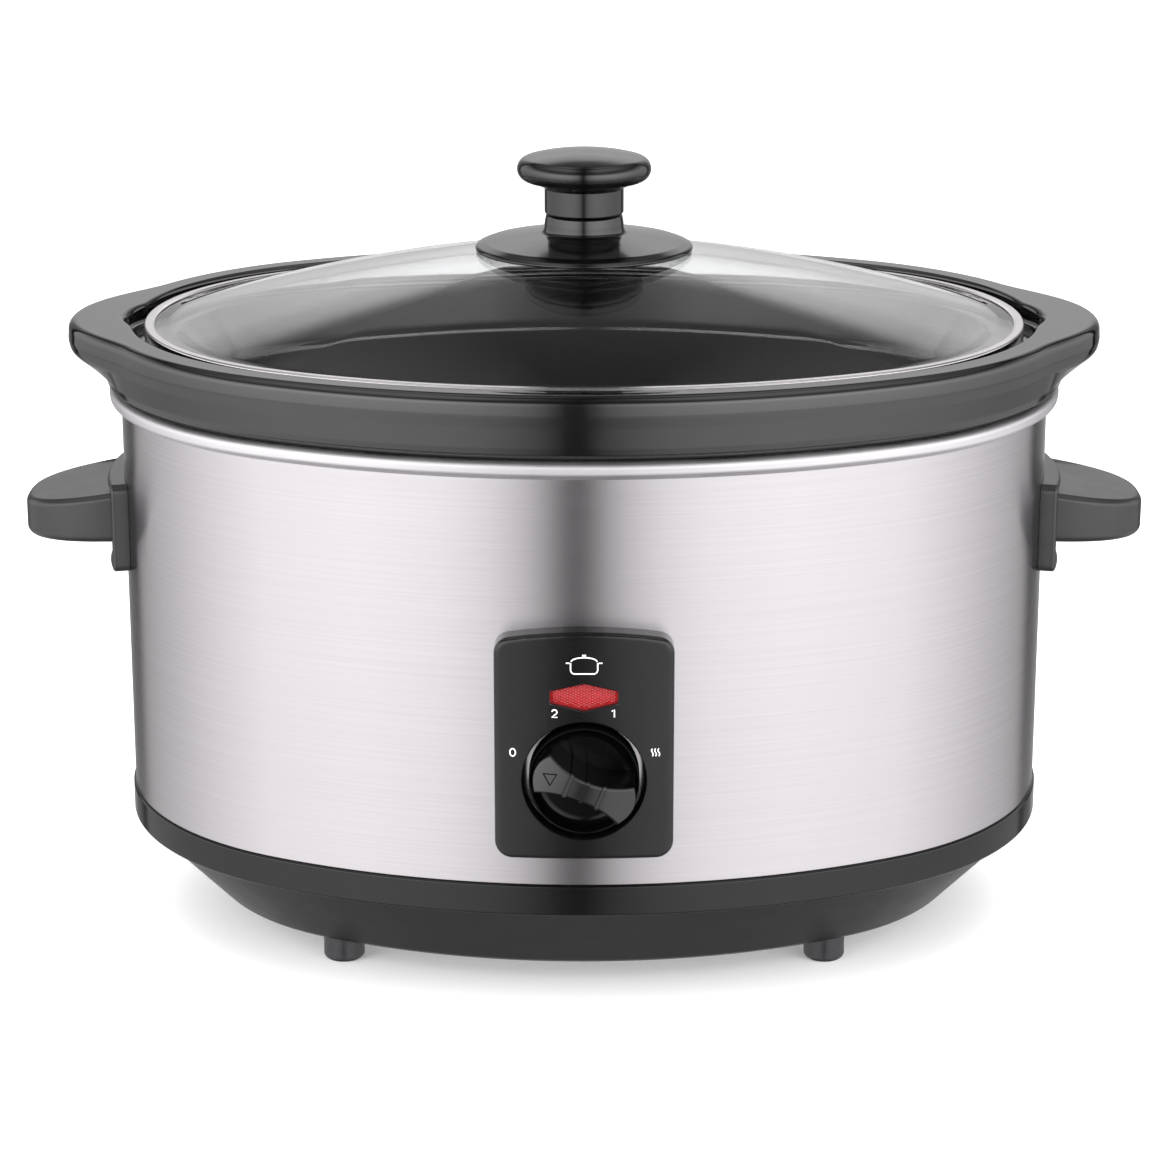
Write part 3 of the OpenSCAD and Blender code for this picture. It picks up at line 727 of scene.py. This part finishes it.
def steel_ring():
    """Channel crimped round the glass, with a rolled outer edge."""
    wide, t = 3.8, 0.7
    low, high = RIM_LOW.z, RIM_HIGH.z
    out = -RIM_IN
    inner = out - wide
    section = rounded([
        (inner, high - 0.4, 0.2), (inner + 0.9, high, 0.5), (out, high, 0.9), (out, low, 1.1),
        (inner, low, 0.3), (inner, low + t, 0.2), (out - t, low + t, 0.4), (out - t, high - t, 0.4),
        (inner, high - t, 0.2)], 4)
    bm = bmesh.new()
    add_sweep(bm, lambda phi: section)
    mesh_piece("lid_steel_ring", bm, [POLISHED], "lid", ["lid_rim"])


def lid_knob_cap():
    """The lid knob's mushroom cap on its upper stem."""
    cap_r, top = CAP_HIGH.x, CAP_HIGH.z - 0.3
    edge_r, stem_r, split = 4.4, KNOB_STEM_R, CAP_LOW.z
    crown_r, crown_drop = 20, 2.4
    bore_r, bore_top = 2.1, split + 11
    edge_z = top - 7.0
    under_z = edge_z - edge_r
    crown = [Vector((r, top - crown_drop * (r / crown_r) ** 2)) for r in range(0, crown_r + 1, 3)]
    edge = arc(cap_r - edge_r, edge_z, edge_r, 74, -84, 16)
    under = rounded([
        (cap_r - edge_r - 1, under_z, 0), (stem_r + 1, under_z - 2, 1.2), (stem_r, under_z - 2.4, 0.4),
        (stem_r, split, 0.7), (bore_r, split, 0.2), (bore_r, bore_top, 0.2), (0, bore_top, 0)],
        5, closed=False)
    bm = bmesh.new()
    add_lathe(bm, crown + edge + under, upright(), 96)
    mesh_piece("lid_knob_cap", bm, [GLOSS], "lid", ["lid_knob"])


def lid_knob_flange():
    """The lid knob's wide flange with its lower stem. A fine groove parts it from the cap."""
    flange_r, low = BASE_HIGH.x, BASE_LOW.z
    stem_r, split, groove, hole_r = KNOB_STEM_R, CAP_LOW.z, 0.5, 2.3
    stem = [
        (hole_r, split - groove, 0.1), (stem_r - 0.5, split - groove, 0.6), (stem_r, low + 9, 1),
        (stem_r + 0.3, low + 5.7, 2.6)]
    flange = [
        (flange_r - 4, low + 2.2, 4), (flange_r - 0.8, low + 1.0, 1.6), (flange_r, low, 0.8),
        (flange_r - 0.6, low - 0.7, 0.5), (flange_r - 4, low - 0.5, 1)]
    section = rounded([*stem, *flange, (15.5, low + 3.2, 1), (hole_r, low + 3.4, 0.2)], 6)
    bm = bmesh.new()
    add_lathe(bm, section, upright(), 96, closed=True)
    mesh_piece("lid_knob_flange", bm, [GLOSS], "lid", ["lid_knob_base"])


# ---------------------------------------------------------------- side handles


def add_grip(bm, side, low, high):
    """A half-round grip that slopes to its tip, as an upper and a lower half."""
    tip = high.x if side > 0 else -low.x
    root_x, root_back, half_d = 164, 6, high.y - 2
    bulge, turns = 2.7, 96

    def bulged(value, reach):
        return math.copysign(abs(value) ** (2 / bulge), value) * reach

    def outline(inset):
        ring = []
        for k in range(turns):
            c, s = math.cos(TAU * k / turns), math.sin(TAU * k / turns)
            x = bulged(c, tip - root_x - inset if c > 0 else root_back)
            ring.append((root_x + x, bulged(s, half_d - inset)))
        return ring

    middle = (high.z + low.z) / 2 + 2
    upper = (high.z - 3, -0.167, 1, 2.4)
    lower = (low.z + 11, -0.035, -1, 3.0)
    for level, slope, up, edge_r in (upper, lower):
        rings = [[(side * x, y, middle) for x, y in outline(0)]]
        for a in quarter_turn(6):
            drop = edge_r * (1 - math.sin(a))
            rings.append([
                (side * x, y, level + slope * max(x - HALF_W, 0) - up * drop)
                for x, y in outline(edge_r * (1 - math.cos(a)))])
        half = bmesh.new()
        made = add_rings(half, rings, closed_along=False)
        half.faces.new(made[-1])
        merge(bm, half)


def side_handle(side, name, node):
    """A curved bracket against the body, and the grip that stands out of it."""
    low, high = box_mm(node)
    half_w, t, corner, edge = 30.3, 6.2, 3, 1.3
    bm = bmesh.new()
    plate = rounded_rectangle(-half_w, low.z, half_w, high.z, corner)
    add_pad(bm, dense(plate), wrapped_end(side), 0.1, t, edge, 4)
    add_grip(bm, side, low, high)
    bmesh.ops.remove_doubles(bm, verts=bm.verts, dist=1e-3)
    mesh_piece(name, bm, [GRIP], "housing", [node])


# ---------------------------------------------------------------- control panel

PANEL_T = FRONT_Y - PANEL_LOW.y
KNOB_Z = (KNOB_LOW.z + KNOB_HIGH.z) / 2
LENS_Z = (LENS_LOW.z + LENS_HIGH.z) / 2
WELL_R = 21.2
# Radius of the rounding at the panel's holes
HOLE_EDGE = 0.35
# The knob's stops, as angles of its pointer from the right, counterclockwise
OFF_ANGLE = 157.5
STOPS = [OFF_ANGLE - 45 * k for k in range(4)]
# The lens: half its width, half its height and half the height of its upright ends
LENS_HALF = (11.3, 4.6, 1.9)


def lens_outline(grow):
    """A long hexagon whose ends are short upright edges, made larger by grow."""
    x, y, flat = (v + grow for v in LENS_HALF)
    return [(x, -flat), (x, flat), (0, y), (-x, flat), (-x, -flat), (0, -y)]


def add_wall(bm, outline, levels):
    """A strip through an outline at several (inset, height) levels."""
    rings = [[(*p[:2], w) for p in outline(inset)] for inset, w in levels]
    add_rings(bm, rings, closed_along=False)


def panel_outline(inset):
    """The panel's outline, with a low arch along its top."""
    corner, arch, arch_steps = 6, 2.9, 4.5
    side, r = PANEL_HIGH.x - inset, corner - inset
    low, high = PANEL_LOW.z + inset, PANEL_HIGH.z - inset
    shares = [k / arch_steps for k in (3, 2, 1, 0, -1, -2, -3)]
    top = [(side * share, high - arch * share ** 2, 0) for share in shares]
    return rounded([
        (-side, low, r), (side, low, r), (side, high - arch, r), *top, (-side, high - arch, r)], 8)


def well_outline(inset):
    """The knob's round well, as 72 points."""
    return arc(0, KNOB_Z, WELL_R + inset, 0, 355, 71)


def window_outline(inset):
    """The lens's opening, a little larger than the lens."""
    gap = 0.3
    return [Vector((x, LENS_Z + y)) for x, y in lens_outline(gap + inset)]


def edge_levels(r):
    """(inset, height) levels of a rounding from an outline's side up to the panel's face."""
    return [(r * (1 - math.cos(a)), PANEL_T - r * (1 - math.sin(a))) for a in quarter_turn(5)[::-1]]


def control_panel():
    """Curved panel with an arched top, the knob's well and the lens's window."""
    edge, foot, window_floor = 1.6, -0.5, PANEL_T - 3
    well_floor = FRONT_Y - PANEL_HIGH.y + 1.5
    neck_r, neck_floor = 8, well_floor - 1.4
    outlines = [panel_outline(edge), well_outline(HOLE_EDGE), window_outline(HOLE_EDGE)]
    bm = flat_plate(outlines, PANEL_T)
    sides = bmesh.new()
    add_wall(sides, panel_outline, edge_levels(edge) + [(0, foot)])
    add_wall(sides, well_outline, edge_levels(HOLE_EDGE) + [
        (0, well_floor), (-9, well_floor), (neck_r - WELL_R, neck_floor)])
    add_wall(sides, window_outline, edge_levels(HOLE_EDGE) + [(0, window_floor)])
    merge(bm, sides)
    bmesh.ops.remove_doubles(bm, verts=bm.verts, dist=2e-3)
    cut_strips(bm, 2.5, PANEL_HIGH.x)
    move_points(bm, wrapped_front())
    well_edge = WELL_R + HOLE_EDGE - 0.04

    # The well's faces and its rounded edge take the painted-shade plastic, dark where the well lies in shade.
    def pick(centre):
        return 1 if math.hypot(centre.x, centre.z - KNOB_Z) < well_edge else 0
    mesh_piece("control_panel", bm, [PANEL, SHADE_BLACK], "housing", ["control_bezel"], 50, pick)


def lens():
    """Red lens with a field of small pyramids moulded on its face."""
    face = FRONT_Y - LENS_LOW.y - 1.4
    back = FRONT_Y - LENS_HIGH.y
    pitch, height, half_base, border = 0.95, 0.18, 0.58, 0.6
    place = forward(LENS_Z)
    bm = bmesh.new()
    outline = lens_outline(border)
    add_rings(bm, [[place(*p, w) for p in outline] for w in (back, face)], closed_along=False, caps=True)
    x_half, y_half, flat = LENS_HALF
    rows = int(y_half / pitch) + 1
    columns = int(x_half / pitch) + 1
    h = pitch * half_base
    for i in range(-columns, columns + 1):
        for j in range(-rows, rows + 1):
            u, v = i * pitch, (j + 0.5 * (i % 2)) * pitch
            edge_v = y_half - (y_half - flat) * abs(u) / x_half
            if abs(v) > edge_v - 0.3 or abs(u) > x_half - 0.2:
                continue
            base = [bm.verts.new(place(u + a, v + b, face)) for a, b in ((-h, 0), (0, -h), (h, 0), (0, h))]
            tip = bm.verts.new(place(u, v, face + height))
            for k in range(4):
                bm.faces.new((base[k], base[(k + 1) % 4], tip))
    mesh_piece("lens_red", bm, [LENS], "housing", ["indicator_lens"], sharp=10, weigh=False)


def stroke(bm, points, width, place, w, closed=False):
    """A flat line of this width through points, at height w of a place function."""
    n = len(points)
    rows = []
    for i, p in enumerate(points):
        before = points[i - 1] if i or closed else p
        after = points[(i + 1) % n] if i < n - 1 or closed else p
        along = (Vector(after) - Vector(before)).normalized()
        side = Vector((-along.y, along.x)) * width / 2
        here = Vector(p)
        rows.append([place(*(here + side), w), place(*(here - side), w)])
    add_rings(bm, rows, closed_along=closed, closed_across=False)


def turned(points, angle, centre=(0, 0)):
    """Points turned by an angle in degrees and then moved to a centre."""
    a = math.radians(angle)
    c, s = math.cos(a), math.sin(a)
    return [Vector((centre[0] + x * c - y * s, centre[1] + x * s + y * c)) for x, y in points]


def panel_marks():
    """Plain numerals and a wave round the knob, and a small lidded pot above the lens."""
    bm = bmesh.new()
    place = wrapped_front()
    w = PANEL_T + 0.03
    line, wave_line, tall, radius = 0.42, 0.36, 1.35, 26.4

    def draw(points, centre, width=line, closed=False):
        stroke(bm, turned(points, 0, centre), width, place, w, closed)

    nought, two, one, waves = [turned([(radius, 0)], stop, (0, KNOB_Z))[0] for stop in STOPS]
    oval = [(0.95 * math.cos(TAU * k / 20), tall * math.sin(TAU * k / 20)) for k in range(20)]
    draw(oval, nought, closed=True)
    draw([*arc(0, 0.5, 0.85, 170, -35, 10), (-0.9, -tall), (1, -tall)], two)
    draw([(-0.7, 0.8), (0.2, tall), (0.2, -tall)], one)
    wave = [(0.3 * math.sin(TAU * t / 12), -tall + 2 * tall * t / 12) for t in range(13)]
    for shift in (-1.1, 0, 1.1):
        draw(turned(wave, 0, (shift, 0)), waves, wave_line)

    pot_centre = (0, LENS_Z + 11)
    half_w, brim, bottom, lug = 4.6, 1.4, -2.4, 6.2
    pot = [(-half_w, brim, 0.3), (-half_w, bottom, 1.4), (half_w, bottom, 1.4), (half_w, brim, 0.3)]
    draw(rounded(pot, 5, closed=False), pot_centre)
    draw([(-lug, brim), (lug, brim)], pot_centre)
    half_turn = [math.pi * k / 10 for k in range(11)]
    draw([(4.4 * math.cos(a), 1.9 + 1.5 * math.sin(a)) for a in half_turn], pot_centre)
    draw([(0, 3.4), (0, 4.4)], pot_centre, 1.3)
    mesh_piece("panel_marks", bm, [PRINT], "housing")


# The knob: its dish, and its finger bar's half length, its top and how far that falls to the ends
KNOB_R = KNOB_HIGH.x
DISH_W = 3.4
BAR_R = KNOB_R - 0.9
BAR_TOP = FRONT_Y - KNOB_LOW.y - 0.6
BAR_DROP = 3.2


def on_knob(u, v, w):
    """Places points on the knob at rest: u along its finger bar, w out of the body's face."""
    return forward(KNOB_Z)(*turned([(u, v)], OFF_ANGLE)[0], w)


def bar_top(u):
    """Height of the finger bar's top at u along it."""
    return BAR_TOP - BAR_DROP * (u / BAR_R) ** 2


def bar_section(u, grow):
    """The waisted finger bar's section at u along it, made larger all round by grow."""
    waist_r, waist_at, least, taper, foot = 26, 30.8, 0.2, 0.74, DISH_W - 0.6
    waist = waist_at - math.sqrt(waist_r ** 2 - u * u)
    half = max(min(waist, math.sqrt(max(BAR_R ** 2 - u * u, 0))), least) + grow
    top = bar_top(u) + grow
    section = rounded([
        (-half, foot, 0), (-half * taper, top, 1), (half * taper, top, 1), (half, foot, 0)],
        4, closed=False)
    return [on_knob(u, v, w) for v, w in section]


def selector_knob():
    """Round knob with a dished face and a tall finger bar, which has three ribs at its waist."""
    back = FRONT_Y - KNOB_HIGH.y
    lip, rim = 0.6, PANEL_T + 0.2
    bm = bmesh.new()
    add_lathe(bm, rounded([
        (0, back, 0), (KNOB_R, back, 0.6), (KNOB_R, rim, 0.4), (KNOB_R - lip, rim, 0.3),
        (KNOB_R - lip - 1.8, DISH_W, 4), (0, DISH_W - 0.4, 0)], 6, closed=False), on_knob, 96)
    half_steps = 36
    stations = [BAR_R * math.sin(math.pi / 2 * k / half_steps) for k in range(-half_steps, half_steps + 1)]
    add_rings(bm, [bar_section(u, 0) for u in stations], closed_along=False, caps=True)
    rib_half, rib_gap, bevel, sunk, proud = 1.0, 5.9, 0.4, -0.2, 0.6
    for x in (-rib_gap, 0, rib_gap):
        rib = [
            (x - rib_half, sunk), (x - rib_half + bevel, proud), (x + rib_half - bevel, proud),
            (x + rib_half, sunk)]
        add_rings(bm, [bar_section(u, grow) for u, grow in rib], closed_along=False, caps=True)
    side_r, dish_top = KNOB_R - 0.3, BAR_TOP - BAR_DROP - 2

    # The knob's rim and outer side take the painted-shade plastic, for the dark gap round the knob.
    def pick(centre):
        if math.hypot(centre.x, centre.z - KNOB_Z) > side_r:
            return 1
        # The dish takes the painted-shade copy of the dial plastic.
        return 2 if FRONT_Y - centre.y < dish_top else 0
    mesh_piece("selector_dial", bm, [DIAL, SHADE_BLACK, DISH_SHADE], "knob", ["selector_knob"], 40, pick)


def pointer_mark():
    """Raised triangle on the finger bar's pointing end. One corner is straight down while the knob is off."""
    at, r, line, relief = 12.6, 2.6, 0.6, 0.25
    down = 270 - OFF_ANGLE
    corners = [turned([(r, 0)], down + 120 * k, (at, 0))[0] for k in range(3)]

    def on_bar(u, v, w):
        return on_knob(u, v, bar_top(u) + w)
    bm = bmesh.new()
    stroke(bm, corners, line, on_bar, relief, closed=True)
    # Its lines take the painted-shade plastic, so that the raised outline reads dark on the glossy bar.
    mesh_piece("pointer_mark", bm, [SHADE_BLACK], "knob")


# ---------------------------------------------------------------- carried-over CAD nodes


def dress_cad_nodes():
    """Gives every CAD node that still shows its own finish."""
    finishes = {
        PLATED: [
            "clamp_hoop", "bottom_cover", "cover_screws", "foot_screws", "centre_stud", "centre_nut",
            "handle_plates", "handle_screws", "panel_screws", "switch_bracket", "switch_nut", "fuse_clip",
            "knob_spring", "lid_washer", "lid_screw"],
        WEAVE: ["heating_band"],
        GRIP: ["gland_nut", "rotary_switch"],
        SILICONE: ["lid_gasket"],
        BRASS: ["thermal_fuse", "switch_shaft"],
        PALE: ["terminal_block"],
        LAMP: ["indicator_lamp"],
        SLEEVE: ["internal_wires"],
    }
    for material, names in finishes.items():
        for name in names:
            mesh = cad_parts[name].data
            mesh.materials.clear()
            mesh.materials.append(material)


# ---------------------------------------------------------------- studio


def floor():
    """A plain pale floor, which the object's gloss doesn't mirror."""
    material = bpy.data.materials.new("pale_floor")
    material.use_nodes = True
    shader = material.node_tree.nodes["Principled BSDF"]
    shader.inputs["Base Color"].default_value = (0.9, 0.9, 0.905, 1)
    shader.inputs["Roughness"].default_value = 0.9
    shader.inputs["Specular IOR Level"].default_value = 0
    shader.inputs["Emission Color"].default_value = (1, 1, 1, 1)
    shader.inputs["Emission Strength"].default_value = 0.2
    reach = 14
    mesh = bpy.data.meshes.new("floor")
    mesh.from_pydata(
        [(-reach, -reach, 0), (reach, -reach, 0), (reach, reach, 0), (-reach, reach, 0)], [], [(0, 1, 2, 3)])
    mesh.materials.append(material)
    obj = bpy.data.objects.new("floor", mesh)
    bpy.context.scene.collection.objects.link(obj)
    obj.visible_glossy = False


def softbox(name, position, width, height, power):
    """An area light turned to the object. The world makes its mirror image, so it has none of its own."""
    light = bpy.data.lights.new(name, "AREA")
    light.shape = "RECTANGLE"
    light.size, light.size_y = width, height
    light.energy = power
    obj = bpy.data.objects.new(name, light)
    bpy.context.scene.collection.objects.link(obj)
    obj.location = position
    obj.rotation_euler = (Vector((0, 0, 0.1)) - Vector(position)).to_track_quat("-Z", "Y").to_euler()
    obj.visible_glossy = obj.visible_transmission = False


# The light tent's brightness by azimuth in degrees (0 is straight in front, either side), and by elevation.
# Its dark gap in front is turned a little to one side, by GAP_AZIMUTH degrees.
GAP_AZIMUTH = -1.5
FRONT_BY_AZIMUTH = [
    (0, 0.05), (1.5, 0.06), (3.5, 0.22), (6, 0.42), (10, 0.62), (16, 0.8), (25, 0.94), (40, 1), (55, 0.95),
    (75, 0.79), (90, 0.66), (105, 0.52), (120, 0.42), (137, 0.3), (139, 0.01), (144, 0.01), (149, 0)]
FRONT_BY_ELEVATION = [
    (-50, 0.2), (-30, 0.9), (-16, 1.45), (0, 2.3), (15, 2.9), (25, 2.0), (36, 0.3), (50, 0.05), (90, 0.05)]
BACK_BY_AZIMUTH = [(0, 0), (143, 0), (146, 0.32), (154, 0.35), (162, 0.85), (172, 1), (180, 1)]
BACK_BY_ELEVATION = [(-50, 0.3), (-20, 0.5), (0, 0.6), (12, 0.8), (22, 1.2), (30, 1.1), (35, 0.2), (90, 0.03)]
# Light from under the horizon
BELOW_BY_AZIMUTH = [(0, 0.1), (4, 0.15), (20, 0.8), (40, 1), (180, 1)]
BELOW_BY_ELEVATION = [(-90, 0.05), (-62, 0.1), (-48, 0.5), (-30, 0.5), (-18, 0), (90, 0)]
# Soft panels high up, which the lid's glass mirrors
PANELS_BY_AZIMUTH = [
    (0, 0.05), (15, 0.3), (35, 1), (100, 1), (125, 0.6), (146, 0.6), (156, 0.9), (166, 0.5), (176, 0.15),
    (180, 0.1)]
PANELS_BY_ELEVATION = [(-90, 0), (36, 0), (40, 0.35), (52, 0.55), (62, 1), (76, 0.9), (82, 0.15), (90, 0.03)]


class Tent:
    """World nodes that set brightness by direction."""

    def __init__(self, tree):
        self.tree = tree
        coords = tree.nodes.new("ShaderNodeTexCoord")
        turn = tree.nodes.new("ShaderNodeMapping")
        turn.inputs["Rotation"].default_value = (0, 0, math.radians(-GAP_AZIMUTH))
        tree.links.new(coords.outputs["Generated"], turn.inputs["Vector"])
        split = tree.nodes.new("ShaderNodeSeparateXYZ")
        tree.links.new(turn.outputs["Vector"], split.inputs["Vector"])
        across = self.math("ABSOLUTE", split.outputs["X"])
        towards = self.math("MULTIPLY", split.outputs["Y"], -1)
        self.azimuth = self.math("DEGREES", self.math("ARCTAN2", across, towards))
        self.elevation = self.math("DEGREES", self.math("ARCSINE", split.outputs["Z"]))

    def math(self, operation, a, b=None):
        """A math node's output. Its inputs are numbers or other nodes' outputs."""
        node = self.tree.nodes.new("ShaderNodeMath")
        node.operation = operation
        for socket, value in zip(node.inputs, (a, b)):
            if isinstance(value, bpy.types.NodeSocket):
                self.tree.links.new(value, socket)
            elif value is not None:
                socket.default_value = value
        return node.outputs[0]

    def curve(self, angle, stops):
        """Brightness along an angle, in straight lines between its stops. None may be above the peak."""
        peak = 3
        low, high = stops[0][0], stops[-1][0]
        share = self.math("DIVIDE", self.math("SUBTRACT", angle, low), high - low)
        ramp = self.tree.nodes.new("ShaderNodeValToRGB")
        elements = ramp.color_ramp.elements
        while len(elements) < len(stops):
            elements.new(0.5)
        for element, (at, value) in zip(elements, stops):
            element.position = (at - low) / (high - low)
            element.color = (*[value / peak] * 3, 1)
        self.tree.links.new(share, ramp.inputs["Fac"])
        return self.math("MULTIPLY", ramp.outputs["Color"], peak)

    def zone(self, by_azimuth, by_elevation):
        """A part of the tent: its brightness along one angle times that along the other."""
        return self.math(
            "MULTIPLY", self.curve(self.azimuth, by_azimuth), self.curve(self.elevation, by_elevation))


def studio():
    """The light tent that gloss and metal mirror, two softboxes in front, one overhead and a soft sky."""
    world = bpy.data.worlds.new("studio")
    bpy.context.scene.world = world
    world.use_nodes = True
    tent = Tent(world.node_tree)
    front = tent.zone(FRONT_BY_AZIMUTH, FRONT_BY_ELEVATION)
    back = tent.zone(BACK_BY_AZIMUTH, BACK_BY_ELEVATION)
    below = tent.zone(BELOW_BY_AZIMUTH, BELOW_BY_ELEVATION)
    panels = tent.zone(PANELS_BY_AZIMUTH, PANELS_BY_ELEVATION)
    total = tent.math("ADD", tent.math("MAXIMUM", tent.math("MAXIMUM", front, back), panels), below)
    background = world.node_tree.nodes["Background"]
    background.inputs["Color"].default_value = (1, 0.985, 1, 1)
    world.node_tree.links.new(total, background.inputs["Strength"])
    for side in (-1, 1):
        softbox(f"softbox_{side}", (side * 1.5, -1.3, 1.1), 1.5, 1.5, 26)
    softbox("overhead", (0, 0.3, 2.2), 2.4, 2.0, 10)
    sky = bpy.data.lights.new("soft_sky", "SUN")
    sky.energy = 2.6
    sky.angle = math.radians(100)
    sun = bpy.data.objects.new("soft_sky", sky)
    bpy.context.scene.collection.objects.link(sun)
    sun.visible_glossy = sun.visible_transmission = False


def camera():
    """The photograph's view: straight in front, from above."""
    data = bpy.data.cameras.new("camera")
    data.sensor_width = 36
    data.lens = 105.15
    data.shift_x = 0.0033
    data.clip_end = 50
    obj = bpy.data.objects.new("camera", data)
    bpy.context.scene.collection.objects.link(obj)
    target = Vector((0, 0, 0.1222))
    pitch, distance = math.radians(16.58), 1.294
    obj.location = target + Vector((0, -math.cos(pitch), math.sin(pitch))) * distance
    obj.rotation_euler = (target - obj.location).to_track_quat("-Z", "Y").to_euler()
    bpy.context.scene.camera = obj


camera()
steel_wrap()
pot_liner()
base_moulding()
feet()
cord_bush()
crock()
glass_dome()
steel_ring()
lid_knob_cap()
lid_knob_flange()
side_handle(-1, "side_handle_left", "handle_left")
side_handle(1, "side_handle_right", "handle_right")
control_panel()
lens()
panel_marks()
selector_knob()
pointer_mark()
dress_cad_nodes()
floor()
studio()
bpy.context.scene.view_settings.view_transform = "Standard"
